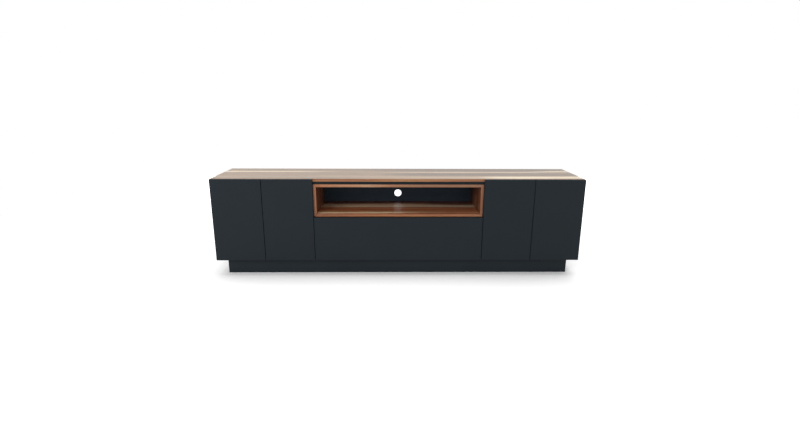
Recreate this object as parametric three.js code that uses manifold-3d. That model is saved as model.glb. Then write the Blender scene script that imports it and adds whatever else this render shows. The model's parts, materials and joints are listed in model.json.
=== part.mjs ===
// TV cabinet: walnut top and niche, four tall charcoal doors, one wide drawer under the niche.
// Millimetres, +Z up. Origin on the floor at the middle of the footprint. The doors face -Y.
import * as THREE from 'three';
import { mergeVertices } from 'three/addons/utils/BufferGeometryUtils.js';
import Module from 'manifold-3d';

const wasm = await Module();
wasm.setup();

// Driving dimensions
const width = 2200;
const depth = 420;
const height = 594;
const boardThickness = 16;
const topThickness = 17;
const centreBayWidth = 1008;
const shelfThickness = 16;
const shelfSetback = 20;
const backThickness = 8;
const backInset = 36;
const cutOverrun = 2;

const plinth = { height: 97, frontInset: 52, endInset: 52, rearInset: 30, thickness: 16 };

const niche = {
  outerHeight: 195,
  thickness: 17,
  mitreGap: 0.3,
  cableHoleDiameter: 47,
  cableHoleAboveFloor: 55,
};

const front = { thickness: 18, gapBehind: 2, seam: 3, topDrop: 1, gapUnderNiche: 2 };

const drawer = {
  sideThickness: 12,
  bottomThickness: 6,
  clearanceBelow: 20,
  clearanceAbove: 33,
  clearanceBehind: 18,
  bottomAboveSideFoot: 10,
};

const runner = {
  space: 12.7,
  rearSetback: 2,
  aboveSideFoot: 60,
  cabinetHeight: 45,
  metal: 1.4,
  cabinetLip: 9,
  middleFrom: 3.4,
  middleTo: 8.8,
  ballRow: 5.1,
  drawerLip: 6,
  runningGap: 0.3,
};

// Concealed hinge. Places across the door are measured from its hinge edge,
// and places through it from its back face, positive towards the room behind it.
const hinge = {
  fromDoorEnd: 90,
  cupSetback: 22.5,
  cupRadius: 17.5,
  cupDepth: 13,
  cupWall: 1,
  cupFloor: 1.2,
  flangeThickness: 1.2,
  flangeWidth: 12,
  flangeLength: 52,
  lugLength: 7,
  lugWidth: 7,
  lugOverPin: 3,
  doorPivot: [13.5, -4],
  linkBend: [23.5, -9],
  armPivot: [41.5, 11.5],
  linkHeight: 11,
  linkThickness: 3,
  knuckleRadius: 2.5,
  pinRadius: 1.25,
  pinClearance: 0.2,
  sideClearance: 0.5,
  cheekThickness: 3,
  noseRadius: 4.5,
  slotEndClearance: 2,
  armEnd: 78,
  armHeelStart: 28,
  armShoulder: 18,
  plateThickness: 2,
  plateStart: 26,
  plateEnd: 62,
  plateLength: 48,
  boreGap: 0.3,
};

const roundSegments = 24;
const pinSegments = 12;
const noseSegments = 8;
const cableHoleSegments = 48;

// Places worked out from the driving dimensions
const halfWidth = width / 2;
const rear = depth / 2;
const doorFront = -depth / 2;
const carcassFront = doorFront + front.thickness + front.gapBehind;
const topUnderside = height - topThickness;
const subTopUnderside = topUnderside - boardThickness;
const carcassFloor = plinth.height + boardThickness;
const endInner = halfWidth - boardThickness;
const partitionInner = centreBayWidth / 2;
const partitionOuter = partitionInner + boardThickness;
const backRear = rear - backInset;
const backFront = backRear - backThickness;
const nicheTop = subTopUnderside;
const nicheUnderside = nicheTop - niche.outerHeight;
const nicheFloor = nicheUnderside + niche.thickness;
const doorTop = height - front.topDrop;
const doorHeight = doorTop - plinth.height;
const centreFrontHalf = partitionInner - front.seam / 2;
const innerDoorEdge = partitionInner + front.seam / 2;
const doorWidth = (halfWidth - innerDoorEdge - front.seam) / 2;
const drawerFoot = carcassFloor + drawer.clearanceBelow;
const drawerRear = backFront - drawer.clearanceBehind;
const hingeOffset = doorHeight / 2 - hinge.fromDoorEnd;
const linkSpace = hinge.linkHeight / 2 + hinge.sideClearance;
const armHalfWidth = linkSpace + hinge.cheekThickness;
const pinHalfLength = armHalfWidth - hinge.pinClearance;

const sides = [
  { side: 'left', sign: -1 },
  { side: 'right', sign: 1 },
];

const charcoal = new THREE.MeshStandardMaterial({ color: 0x2b3036, roughness: 0.62, metalness: 0 });
const charcoalInside = new THREE.MeshStandardMaterial({ color: 0x25292e, roughness: 0.7, metalness: 0 });
const walnut = new THREE.MeshStandardMaterial({ color: 0x8a5a3e, roughness: 0.5, metalness: 0 });
const steel = new THREE.MeshStandardMaterial({ color: 0xb9b7b2, roughness: 0.32, metalness: 1 });
const zincPlated = new THREE.MeshStandardMaterial({ color: 0xa9abad, roughness: 0.4, metalness: 1 });

// The span between two distances from the middle, on the side that sign gives
function spanOnSide(sign, near, far) {
  return sign < 0 ? [-far, -near] : [near, far];
}

function named(name, geometry, material) {
  const mesh = new THREE.Mesh(geometry, material);
  mesh.name = name;
  return mesh;
}

function board(name, xSpan, ySpan, zSpan, material) {
  const spans = [xSpan, ySpan, zSpan];
  const size = spans.map(([low, high]) => high - low);
  const centre = spans.map(([low, high]) => (low + high) / 2);
  const mesh = named(name, new THREE.BoxGeometry(...size), material);
  mesh.position.set(...centre);
  return mesh;
}

// A closed geometry as a solid that can be joined and cut
function solid(geometry) {
  geometry.deleteAttribute('normal');
  geometry.deleteAttribute('uv');
  const merged = mergeVertices(geometry);
  const vertProperties = new Float32Array(merged.attributes.position.array);
  const triVerts = new Uint32Array(merged.index.array);
  return new wasm.Manifold(new wasm.Mesh({ numProp: 3, vertProperties, triVerts }));
}

function geometryOf(body) {
  const mesh = body.getMesh();
  const geometry = new THREE.BufferGeometry();
  geometry.setAttribute('position', new THREE.BufferAttribute(mesh.vertProperties, 3));
  geometry.setIndex(new THREE.BufferAttribute(mesh.triVerts, 1));
  geometry.computeVertexNormals();
  return geometry;
}

function block(xSpan, ySpan, zSpan) {
  const spans = [xSpan, ySpan, zSpan];
  const geometry = new THREE.BoxGeometry(...spans.map(([low, high]) => high - low));
  geometry.translate(...spans.map(([low, high]) => (low + high) / 2));
  return solid(geometry);
}

function rodAlongY(radius, x, [low, high], z, segments) {
  const geometry = new THREE.CylinderGeometry(radius, radius, high - low, segments);
  geometry.translate(x, (low + high) / 2, z);
  return solid(geometry);
}

function rodAlongZ(radius, x, y, halfLength, segments) {
  const geometry = new THREE.CylinderGeometry(radius, radius, 2 * halfLength, segments);
  geometry.rotateX(Math.PI / 2);
  geometry.translate(x, y, 0);
  return solid(geometry);
}

function join(bodies) {
  return bodies.reduce((whole, body) => whole.add(body));
}

// An outline in x and z, run along y from the first place to the second
function extrudeAlongY(points, [low, high]) {
  const outline = new THREE.Shape(points.map(([x, z]) => new THREE.Vector2(x, z)));
  const geometry = new THREE.ExtrudeGeometry(outline, { depth: high - low, bevelEnabled: false });
  geometry.rotateX(Math.PI / 2);
  geometry.translate(0, high, 0);
  return geometry;
}

function makeTop() {
  const group = new THREE.Group();
  const fullDepth = [carcassFront, rear];
  group.add(board('top_board', [-halfWidth, halfWidth], fullDepth, [topUnderside, height], walnut));
  return group;
}

function makeCarcass() {
  const group = new THREE.Group();
  const fullDepth = [carcassFront, rear];
  const betweenEnds = [-endInner, endInner];
  const inside = [carcassFloor, subTopUnderside];
  group.add(board('sub_top_panel', betweenEnds, fullDepth, [subTopUnderside, topUnderside], charcoalInside));
  group.add(board('bottom_board', betweenEnds, fullDepth, [plinth.height, carcassFloor], charcoalInside));
  const backSpan = [backFront, backRear];
  for (const { side, sign } of sides) {
    const endSpan = spanOnSide(sign, endInner, halfWidth);
    const partitionSpan = spanOnSide(sign, partitionInner, partitionOuter);
    const baySpan = spanOnSide(sign, partitionOuter, endInner);
    const middle = (carcassFloor + subTopUnderside) / 2;
    const shelfDepth = [carcassFront + shelfSetback, backFront];
    const shelfSpan = [middle - shelfThickness / 2, middle + shelfThickness / 2];
    group.add(board(`${side}_end_panel`, endSpan, fullDepth, [plinth.height, topUnderside], charcoal));
    group.add(board(`${side}_partition`, partitionSpan, fullDepth, inside, charcoalInside));
    group.add(board(`${side}_back_panel`, baySpan, backSpan, inside, charcoalInside));
    group.add(board(`${side}_shelf`, baySpan, shelfDepth, shelfSpan, charcoalInside));
  }
  group.add(makeCentreBack(backSpan, inside));
  return group;
}

function makeCentreBack(backSpan, inside) {
  const panel = block([-partitionInner, partitionInner], backSpan, inside);
  const holeSpan = [backFront - cutOverrun, backRear + cutOverrun];
  const holeHeight = nicheFloor + niche.cableHoleAboveFloor;
  const hole = rodAlongY(niche.cableHoleDiameter / 2, 0, holeSpan, holeHeight, cableHoleSegments);
  return named('centre_back_panel', geometryOf(panel.subtract(hole)), charcoalInside);
}

function makePlinth() {
  const group = new THREE.Group();
  const half = halfWidth - plinth.endInset;
  const frontFace = doorFront + plinth.frontInset;
  const rearFace = rear - plinth.rearInset;
  const upright = [0, plinth.height];
  const between = [frontFace + plinth.thickness, rearFace - plinth.thickness];
  group.add(board('plinth_front', [-half, half], [frontFace, between[0]], upright, charcoal));
  group.add(board('plinth_back', [-half, half], [between[1], rearFace], upright, charcoal));
  const railSpan = [-plinth.thickness / 2, plinth.thickness / 2];
  group.add(board('plinth_cross_rail', railSpan, between, upright, charcoal));
  for (const { side, sign } of sides) {
    const acrossSpan = spanOnSide(sign, half - plinth.thickness, half);
    group.add(board(`plinth_${side}`, acrossSpan, between, upright, charcoal));
  }
  return group;
}

// Four mitred boards with a hairline glue gap at each mitre
function makeNiche() {
  const group = new THREE.Group();
  const run = [carcassFront, backFront];
  const outer = partitionInner;
  const inner = outer - niche.thickness;
  const gap = niche.mitreGap;
  const lying = (edge, face) => [
    [-outer + gap, edge],
    [outer - gap, edge],
    [inner - gap, face],
    [-inner + gap, face],
  ];
  const standing = (sign) => [
    [sign * outer, nicheUnderside],
    [sign * outer, nicheTop],
    [sign * inner, nicheTop - niche.thickness],
    [sign * inner, nicheFloor],
  ];
  group.add(named('niche_top', extrudeAlongY(lying(nicheTop, nicheTop - niche.thickness), run), walnut));
  group.add(named('niche_bottom', extrudeAlongY(lying(nicheUnderside, nicheFloor), run), walnut));
  for (const { side, sign } of sides) {
    group.add(named(`niche_${side}_side`, extrudeAlongY(standing(sign), run), walnut));
  }
  return group;
}

function makeDrawer() {
  const group = new THREE.Group();
  const outer = partitionInner - runner.space;
  const inner = outer - drawer.sideThickness;
  const upright = [drawerFoot, nicheUnderside - drawer.clearanceAbove];
  const boxFront = doorFront + front.thickness;
  const backSpan = [drawerRear - drawer.sideThickness, drawerRear];
  const floorFoot = drawerFoot + drawer.bottomAboveSideFoot;
  const floorSpan = [floorFoot, floorFoot + drawer.bottomThickness];
  const frontSpan = [plinth.height, nicheUnderside - front.gapUnderNiche];
  const frontWidth = [-centreFrontHalf, centreFrontHalf];
  group.add(board('drawer_front', frontWidth, [doorFront, boxFront], frontSpan, charcoal));
  group.add(board('drawer_back', [-inner, inner], backSpan, upright, charcoalInside));
  group.add(board('drawer_bottom', [-inner, inner], [boxFront, backSpan[0]], floorSpan, charcoalInside));
  for (const { side, sign } of sides) {
    const sideSpan = spanOnSide(sign, inner, outer);
    group.add(board(`drawer_${side}_side`, sideSpan, [boxFront, drawerRear], upright, charcoalInside));
  }
  return group;
}

// A channel: a web between webFrom and webTo, and two lips that reach lipTo, all across the runner
function channel(sign, webFrom, webTo, lipTo, halfHeight, lipThickness, centreHeight) {
  const across = (distance) => sign * (partitionInner - distance);
  const up = (offset) => centreHeight + offset;
  return [
    [across(webFrom), up(-halfHeight)],
    [across(webFrom), up(halfHeight)],
    [across(lipTo), up(halfHeight)],
    [across(lipTo), up(halfHeight - lipThickness)],
    [across(webTo), up(halfHeight - lipThickness)],
    [across(webTo), up(lipThickness - halfHeight)],
    [across(lipTo), up(lipThickness - halfHeight)],
    [across(lipTo), up(-halfHeight)],
  ];
}

// Ball runners in three members: one on the partition, one on the drawer, one between them
function makeRunners() {
  const group = new THREE.Group();
  const centreHeight = drawerFoot + runner.aboveSideFoot;
  const run = [carcassFront, drawerRear - runner.rearSetback];
  const cabinetHalf = runner.cabinetHeight / 2;
  const middleHalf = cabinetHalf - runner.metal - runner.runningGap;
  const drawerHalf = middleHalf - runner.ballRow - runner.runningGap;
  const { metal, space, middleFrom, middleTo, ballRow, cabinetLip, drawerLip } = runner;
  for (const { side, sign } of sides) {
    const members = {
      cabinet: channel(sign, 0, metal, cabinetLip, cabinetHalf, metal, centreHeight),
      middle: channel(sign, middleFrom, middleFrom + metal, middleTo, middleHalf, ballRow, centreHeight),
      drawer: channel(sign, space, space - metal, space - drawerLip, drawerHalf, metal, centreHeight),
    };
    for (const [member, outline] of Object.entries(members)) {
      group.add(named(`${side}_runner_${member}_member`, extrudeAlongY(outline, run), zincPlated));
    }
  }
  return group;
}

// Door and hinge pieces are drawn with x from the door's hinge edge, y from its front face
// and z from its middle, all alike above and below that middle.
function doorBody() {
  const body = block([0, doorWidth], [0, front.thickness], [-doorHeight / 2, doorHeight / 2]);
  const boreSpan = [front.thickness - hinge.cupDepth - hinge.boreGap, front.thickness + cutOverrun];
  const radius = hinge.cupRadius + hinge.boreGap;
  const bore = (z) => rodAlongY(radius, hinge.cupSetback, boreSpan, z, roundSegments);
  return geometryOf(body.subtract(bore(hingeOffset)).subtract(bore(-hingeOffset)));
}

function throughDoor(fromBackFace) {
  return front.thickness + fromBackFace;
}

// Pressed cup with a flange to each side and two lugs that hold the door pin
function cupBody() {
  const bottom = throughDoor(-hinge.cupDepth);
  const floor = bottom + hinge.cupFloor;
  const rim = throughDoor(0);
  const proud = throughDoor(hinge.flangeThickness);
  const insideRadius = hinge.cupRadius - hinge.cupWall;
  const flangeSpan = [hinge.cupSetback - hinge.flangeWidth / 2, hinge.cupSetback + hinge.flangeWidth / 2];
  const edgeSide = [-cutOverrun, flangeSpan[0]];
  const halfFlange = hinge.flangeLength / 2;
  const inside = rodAlongY(insideRadius, hinge.cupSetback, [floor, proud + cutOverrun], 0, roundSegments);
  const shell = rodAlongY(hinge.cupRadius, hinge.cupSetback, [bottom, proud], 0, roundSegments)
    .subtract(block(edgeSide, [rim, proud + cutOverrun], [-halfFlange, halfFlange]));
  const flange = block(flangeSpan, [rim, proud], [-halfFlange, halfFlange]);
  const [pinX, pinBack] = hinge.doorPivot;
  const lugSpan = [pinX - hinge.lugWidth / 2, pinX + hinge.lugWidth / 2];
  const lugReach = linkSpace + hinge.lugLength;
  const lugTop = throughDoor(pinBack) + hinge.lugOverPin;
  const lugs = block(lugSpan, [bottom, lugTop], [-lugReach, lugReach])
    .intersect(rodAlongY(hinge.cupRadius, hinge.cupSetback, [bottom, rim], 0, roundSegments))
    .subtract(block(lugSpan, [floor, proud], [-linkSpace, linkSpace]));
  const holeRadius = hinge.pinRadius + hinge.pinClearance;
  const pinHole = rodAlongZ(holeRadius, pinX, throughDoor(pinBack), armHalfWidth, pinSegments);
  return geometryOf(shell.add(flange).subtract(inside).add(lugs).subtract(pinHole));
}

function bar([startX, startY], [endX, endY], thickness, barHeight) {
  const length = Math.hypot(endX - startX, endY - startY);
  const geometry = new THREE.BoxGeometry(length, thickness, barHeight);
  geometry.rotateZ(Math.atan2(endY - startY, endX - startX));
  geometry.translate((startX + endX) / 2, (startY + endY) / 2, 0);
  return solid(geometry);
}

// The link, bent to clear the rim of the cup, with a pin through the knuckle at each end
function linkBody() {
  const places = [hinge.armPivot, hinge.linkBend, hinge.doorPivot].map(([x, y]) => [x, throughDoor(y)]);
  const [armEnd, bend, doorEnd] = places;
  const { linkThickness, linkHeight, knuckleRadius, pinRadius } = hinge;
  return geometryOf(join([
    bar(armEnd, bend, linkThickness, linkHeight),
    bar(bend, doorEnd, linkThickness, linkHeight),
    rodAlongZ(linkThickness / 2, ...bend, linkHeight / 2, pinSegments),
    rodAlongZ(knuckleRadius, ...armEnd, linkHeight / 2, pinSegments),
    rodAlongZ(knuckleRadius, ...doorEnd, linkHeight / 2, pinSegments),
    rodAlongZ(pinRadius, ...armEnd, pinHalfLength, pinSegments),
    rodAlongZ(pinRadius, ...doorEnd, pinHalfLength, pinSegments),
  ]));
}

// The arm on its mounting plate, with two cheeks at the nose that hold the link's pin.
// overlay is how far the door's hinge edge reaches past the inside face of its panel.
function armBody(overlay) {
  const [pivotX, pivotBack] = hinge.armPivot;
  const pivotY = throughDoor(pivotBack);
  const plateFace = overlay + hinge.plateThickness;
  const top = pivotX + hinge.noseRadius;
  const outline = new THREE.Shape();
  outline.moveTo(plateFace, throughDoor(hinge.armHeelStart));
  outline.lineTo(pivotX - hinge.noseRadius, throughDoor(hinge.armShoulder));
  outline.lineTo(pivotX - hinge.noseRadius, pivotY);
  outline.absarc(pivotX, pivotY, hinge.noseRadius, Math.PI, 2 * Math.PI, false);
  outline.lineTo(top, throughDoor(hinge.armEnd));
  outline.lineTo(plateFace, throughDoor(hinge.armEnd));
  const extrusion = { depth: 2 * armHalfWidth, bevelEnabled: false, curveSegments: noseSegments };
  const profile = new THREE.ExtrudeGeometry(outline, extrusion);
  profile.translate(0, 0, -armHalfWidth);
  const plateSpan = [overlay, plateFace];
  const plateStart = throughDoor(hinge.plateStart);
  const foot = block(plateSpan, [plateStart, throughDoor(hinge.armEnd)], [-armHalfWidth, armHalfWidth]);
  const halfPlate = hinge.plateLength / 2;
  const wing = block(plateSpan, [plateStart, throughDoor(hinge.plateEnd)], [-halfPlate, halfPlate]);
  const slotSpan = [pivotX - 2 * hinge.noseRadius, top + cutOverrun];
  const slotEnd = pivotY + hinge.knuckleRadius + hinge.slotEndClearance;
  const slot = block(slotSpan, [pivotY - 2 * hinge.noseRadius, slotEnd], [-linkSpace, linkSpace]);
  const holeRadius = hinge.pinRadius + hinge.pinClearance;
  const pinHole = rodAlongZ(holeRadius, pivotX, pivotY, armHalfWidth + cutOverrun, pinSegments);
  return geometryOf(join([solid(profile), foot, wing]).subtract(slot).subtract(pinHole));
}

// One door with its two hinges. A turned door has its hinge edge at its right.
function makeDoor(name, hingeEdge, turned, panelFace) {
  const group = new THREE.Group();
  group.position.set(hingeEdge, doorFront, (doorTop + plinth.height) / 2);
  group.rotation.y = turned ? Math.PI : 0;
  group.add(named(`${name}_door`, doorBody(), charcoal));
  const overlay = Math.abs(hingeEdge - panelFace);
  for (const [level, offset] of [['upper', hingeOffset], ['lower', -hingeOffset]]) {
    const pieces = { cup: cupBody(), link: linkBody(), arm: armBody(overlay) };
    for (const [piece, geometry] of Object.entries(pieces)) {
      const mesh = named(`${name}_${level}_hinge_${piece}`, geometry, steel);
      mesh.position.z = turned ? -offset : offset;
      group.add(mesh);
    }
  }
  return group;
}

function makeDoors() {
  const group = new THREE.Group();
  for (const { side, sign } of sides) {
    group.add(makeDoor(`${side}_outer`, sign * halfWidth, sign > 0, sign * endInner));
    group.add(makeDoor(`${side}_inner`, sign * innerDoorEdge, sign < 0, sign * partitionOuter));
  }
  return group;
}

const cabinet = new THREE.Group();
cabinet.add(makeTop(), makeCarcass(), makePlinth(), makeNiche(), makeDrawer(), makeRunners(), makeDoors());

export default cabinet;
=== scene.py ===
import json
import math

import bmesh
import bpy
from mathutils import Matrix, Vector


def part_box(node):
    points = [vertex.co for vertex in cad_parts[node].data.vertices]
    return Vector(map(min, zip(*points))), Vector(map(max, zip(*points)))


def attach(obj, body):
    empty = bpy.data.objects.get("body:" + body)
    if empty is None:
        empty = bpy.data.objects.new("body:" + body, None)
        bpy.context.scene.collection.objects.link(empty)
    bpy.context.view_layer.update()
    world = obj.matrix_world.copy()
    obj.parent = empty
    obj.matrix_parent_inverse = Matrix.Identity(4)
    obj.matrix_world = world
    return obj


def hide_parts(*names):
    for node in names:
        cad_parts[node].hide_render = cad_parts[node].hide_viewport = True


bl_info = {
    "name": "Walnut and Charcoal TV Cabinet",
    "version": (1, 0, 0),
    "blender": (4, 5, 0),
    "location": "3D View > Sidebar > TV Cabinet",
    "description": "Dresses the frame of a low TV cabinet in its boards, fittings and finishes",
    "category": "Add Mesh",
}

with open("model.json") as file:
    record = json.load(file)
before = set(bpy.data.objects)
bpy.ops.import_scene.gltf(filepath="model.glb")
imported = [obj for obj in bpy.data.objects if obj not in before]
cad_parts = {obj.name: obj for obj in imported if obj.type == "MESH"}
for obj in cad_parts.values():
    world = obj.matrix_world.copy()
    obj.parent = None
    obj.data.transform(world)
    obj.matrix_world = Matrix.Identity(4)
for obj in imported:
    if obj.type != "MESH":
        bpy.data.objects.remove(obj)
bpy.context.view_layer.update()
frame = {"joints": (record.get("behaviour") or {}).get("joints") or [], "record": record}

MM = 0.001
# How far a cutter runs past what it cuts, and how near counts as the same place.
OVERRUN = 1 * MM
TOLERANCE = 0.1 * MM
# How closely a face's normal or an edge's run has to follow an axis.
FACING, PARALLEL = 0.9, 0.999
BODIES = frame["record"]["behaviour"]["bodies"]
BODY_OF = {node: body for body, nodes in BODIES.items() for node in nodes}
JOINT_PLACE = {joint["name"]: Vector(joint.get("pos_m", (0, 0, 0))) for joint in frame["joints"]}

# Each door, and whether its hinge edge is the one at its right.
DOORS = {"left_outer": False, "left_inner": True, "right_inner": False, "right_outer": True}
LEVELS = ("upper", "lower")
SIDES = ("left", "right")

INSIDE_BOARDS = (
    "sub_top_panel", "bottom_board", "left_shelf", "right_shelf", "left_partition", "right_partition",
)
BACK_BOARDS = ("left_back_panel", "right_back_panel")
PLINTH_BOARDS = ("plinth_front", "plinth_back", "plinth_left", "plinth_right", "plinth_cross_rail")
DRAWER_BOARDS = ("drawer_left_side", "drawer_right_side", "drawer_back", "drawer_bottom")

Y_AXIS = Vector((0, 1, 0))
Z_AXIS = Vector((0, 0, 1))
HALF_TURN = math.pi
QUARTER_TURN = math.pi / 2

# Sockets of the Mix node, for colours and for numbers, whose names are shared with other kinds.
MIX_FACTOR, MIX_A, MIX_B, MIX_RESULT = 0, 6, 7, 2
MIX_NUMBER_A, MIX_NUMBER_B = 2, 3
MULTIPLY = {"data_type": "RGBA", "blend_type": "MULTIPLY"}


def linear(hex_colour):
    """The linear red, green, blue and alpha of an sRGB hex colour."""
    values = [int(hex_colour[start:start + 2], 16) / 255 for start in (1, 3, 5)]
    return [v / 12.92 if v <= 0.04045 else ((v + 0.055) / 1.055) ** 2.4 for v in values] + [1.0]


def length(name, description, millimetres):
    """A length that a user can change, its default given in millimetres."""
    return bpy.props.FloatProperty(
        name=name, description=description, default=millimetres * MM, unit="LENGTH", precision=5
    )


def colour(name, description, hex_colour):
    """A colour that a user can change, its default given as an sRGB hex value."""
    return bpy.props.FloatVectorProperty(
        name=name, description=description, default=linear(hex_colour),
        subtype="COLOR", size=4, min=0, max=1,
    )


class CabinetSizes(bpy.types.PropertyGroup):
    """Sizes of the fine work on the boards and fittings; the frame gives the large ones."""

    front_arris: length("Front arris", "Rounding of the doors' and drawer front's edges", 1.2)
    top_arris: length("Top arris", "Rounding of the walnut top's edges", 1.0)
    niche_arris: length("Niche arris", "Rounding of the walnut niche boards' edges", 0.6)
    board_arris: length("Board arris", "Rounding of the charcoal boards' edges", 0.5)
    drawer_side_round: length("Drawer side rounding", "Rounding of the drawer sides' top edges", 3)
    hole_arris: length("Cable hole arris", "Rounding of the cable hole's rims", 0.8)
    hole_clearance: length("Cable hole clearance", "Room between the opening's box and the hole's wall", 0.3)
    bore_clearance: length("Bore clearance", "Room round and under a hinge cup", 0.3)
    cup_wall: length("Cup wall", "Thickness of the pressed cup's wall", 1)
    cup_floor: length("Cup floor", "Thickness of the pressed cup's floor", 1.2)
    cup_foot_round: length("Cup foot rounding", "Rounding of the cup's lower edge", 2)
    flange_thickness: length("Flange thickness", "How far a cup's flange stands off the door", 1.2)
    flange_width: length("Flange width", "Width of the cup's two ears", 12)
    flange_round: length("Flange rounding", "Corner radius of the cup's ears", 4.5)
    screw_sink: length("Screw sink", "How far the cup's screw heads sit in its ears", 0.65)
    lug_inside: length("Lug inside", "Half the space between the two lugs in a cup", 6)
    lug_outside: length("Lug outside", "How far from the middle a lug reaches", 11.5)
    lug_width: length("Lug width", "Width of a lug across the door", 7)
    lug_over_pin: length("Lug over pin", "How far a lug reaches past its pin", 3)
    link_thickness: length("Link thickness", "Thickness of the bent link", 3)
    knuckle_radius: length("Knuckle radius", "Radius of the link's rolled ends", 2.5)
    pin_radius: length("Pin radius", "Radius of the hinge pins", 1.25)
    pin_half_length: length("Pin half length", "Half the length of the hinge pins", 8.8)
    link_half_height: length("Link half height", "Half the height of the link", 5.5)
    link_arris: length("Link arris", "Rounding of the link's edges", 0.4)
    link_bend_across: length("Link bend across", "Place of the link's bend from the hinge edge", 23.5)
    link_bend_deep: length("Link bend deep", "Place of the link's bend from the door's front", 9)
    arm_nose: length("Arm nose", "Radius of the arm's nose round its pin", 4.5)
    arm_wall: length("Arm wall", "Thickness of the arm's pressed steel", 1.6)
    arm_shoulder: length("Arm shoulder", "Where the arm's nose ends, past its pin", 6.5)
    arm_heel: length("Arm heel", "Where the arm reaches its full height, past its pin", 16)
    arm_skirt: length("Arm skirt", "How far the arm's sides reach down from its top", 18)
    arm_slot_end: length("Arm slot end", "Where the slot for the link ends, past the pin", 4.5)
    arm_side: length("Arm side", "Room between the pins' ends and the arm's outer faces", 0.2)
    arm_round: length("Arm rounding", "Rounding of the arm's two long bends", 1.2)
    arm_hollow_start: length("Arm hollow start", "Where the arm's hollow starts, past its nose", 2)
    arm_screw_front: length("Arm front screw", "Distance of the arm's front screw from its heel", 8)
    arm_screw_rear: length("Arm rear screw", "Distance of the arm's rear screw from its end", 10)
    plate_thickness: length("Plate thickness", "Thickness of the mounting plate", 2)
    plate_round: length("Plate rounding", "Corner radius of the mounting plate's wings", 6)
    plate_lead: length("Plate lead", "How far the plate's wings start before the arm's heel", 1.5)
    plate_width: length("Plate width", "Width of the mounting plate's wings", 36)
    pedestal_inset: length("Pedestal inset", "How far the plate's block lies inside the arm", 1.8)
    pedestal_half: length("Pedestal half width", "Half the width of the plate's block", 6.8)
    pedestal_arris: length("Pedestal arris", "Rounding of the plate's block", 1)
    screw_head: length("Screw head", "Radius of the screws' heads", 3.4)
    screw_rise: length("Screw rise", "Height of the screws' heads", 1.3)
    screw_recess: length("Screw recess", "Width of the cross recess's arms", 1.1)
    plate_screw: length("Plate screw", "Distance of the plate's screws from its middle", 16)
    runner_bend: length("Runner bend", "Outer radius of the runners' bends", 1.6)
    runner_metal: length("Runner metal", "Thickness of the runners' steel", 1.4)
    runner_slot: length("Runner slot", "Length of the slots in the runners' webs", 14)
    runner_slot_height: length("Runner slot height", "Height of the slots in the runners' webs", 4.4)
    runner_slot_round: length("Runner slot rounding", "Corner radius of the runners' slots", 2.1)
    ball_radius: length("Ball radius", "Radius of the balls that the runners' lips leave room for", 1.5)


class CabinetColours(bpy.types.PropertyGroup):
    """Colours of the finishes."""

    lacquer: colour("Charcoal lacquer", "The doors, drawer front and end panels", "#1F262B")
    melamine: colour("Charcoal board", "The boards inside", "#1D262D")
    back: colour("Charcoal back", "The three back panels", "#222E39")
    edge_band: colour("Edge band", "The front edges of the boards inside", "#171B1E")
    plinth: colour("Plinth lacquer", "The plinth", "#242B30")
    top_dark: colour("Top, dark", "The darkest streaks of the top's veneer", "#5F4835")
    top_middle: colour("Top, middle", "The heartwood of the top's veneer", "#8C6F52")
    top_light: colour("Top, light", "The lightest streaks of the top's veneer", "#AA8C6B")
    # The niche's dark tone also sets how deep the painted shade in the niche and on its lipping is.
    niche_dark: colour("Niche, dark", "The darkest streaks of the niche's veneer and the lipping", "#5E3322")
    niche_middle: colour("Niche, middle", "The heartwood of the niche's veneer and the lipping", "#A8673D")
    niche_inside: colour("Niche, inside", "The heartwood of the niche's inner faces", "#AA6440")
    niche_light: colour("Niche, light", "The lightest streaks of the niche's veneer", "#C48E5C")
    # The sapwood is also the base of the painted highlight along the niche floor's front edge.
    sapwood: colour("Sapwood", "The pale bands of the sapwood", "#E6D2B2")
    nickel: colour("Nickel plate", "The hinges", "#C6C1B8")
    zinc: colour("Zinc plate", "The runners", "#B4B8BC")
    floor: colour("Floor", "The studio's floor and backdrop", "#FDFDFD")


def settings():
    """The sizes and the colours of the scene."""
    scene = bpy.context.scene
    return scene.tv_cabinet_sizes, scene.tv_cabinet_colours


# Materials

def add(tree, kind, inputs=None, stops=None, **values):
    """Adds a shader node with its own values, its input values or links, and a ramp's stops."""
    made = tree.nodes.new("ShaderNode" + kind)
    for name, value in values.items():
        setattr(made, name, value)
    for name, value in (inputs or {}).items():
        if isinstance(value, bpy.types.NodeSocket):
            tree.links.new(value, made.inputs[name])
        else:
            made.inputs[name].default_value = value
    if stops:
        elements = made.color_ramp.elements
        while len(elements) < len(stops):
            elements.new(1)
        for element, (place, value) in zip(elements, stops):
            element.position = place
            element.color = value
    return made


def start_material(name, **sockets):
    """A new material whose one shader has the given constant sockets, and the place on the object."""
    material = bpy.data.materials.new(name)
    material.use_nodes = True
    tree = material.node_tree
    shader = tree.nodes["Principled BSDF"]
    for socket, value in sockets.items():
        shader.inputs[socket.replace("_", " ")].default_value = value
    material.diffuse_color = shader.inputs["Base Color"].default_value
    return material, tree, shader, add(tree, "TexCoord").outputs["Object"]


def wire(tree, shader, **outputs):
    """Links outputs to the shader's sockets of the same names."""
    for socket, output in outputs.items():
        tree.links.new(output, shader.inputs[socket.replace("_", " ")])


def per(millimetres):
    """How many of a size fit in a metre, for the scale of a pattern."""
    return 1 / (millimetres * MM)


def spread(noise, low, high):
    """The inputs of a range that turns nearly all of a noise's values into low to high."""
    return {"Value": noise, "From Min": 0.3, "From Max": 0.7, "To Min": low, "To Max": high}


def grey(level):
    """A grey of one level, also for a ramp that carries a number."""
    return (level, level, level, 1)


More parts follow.
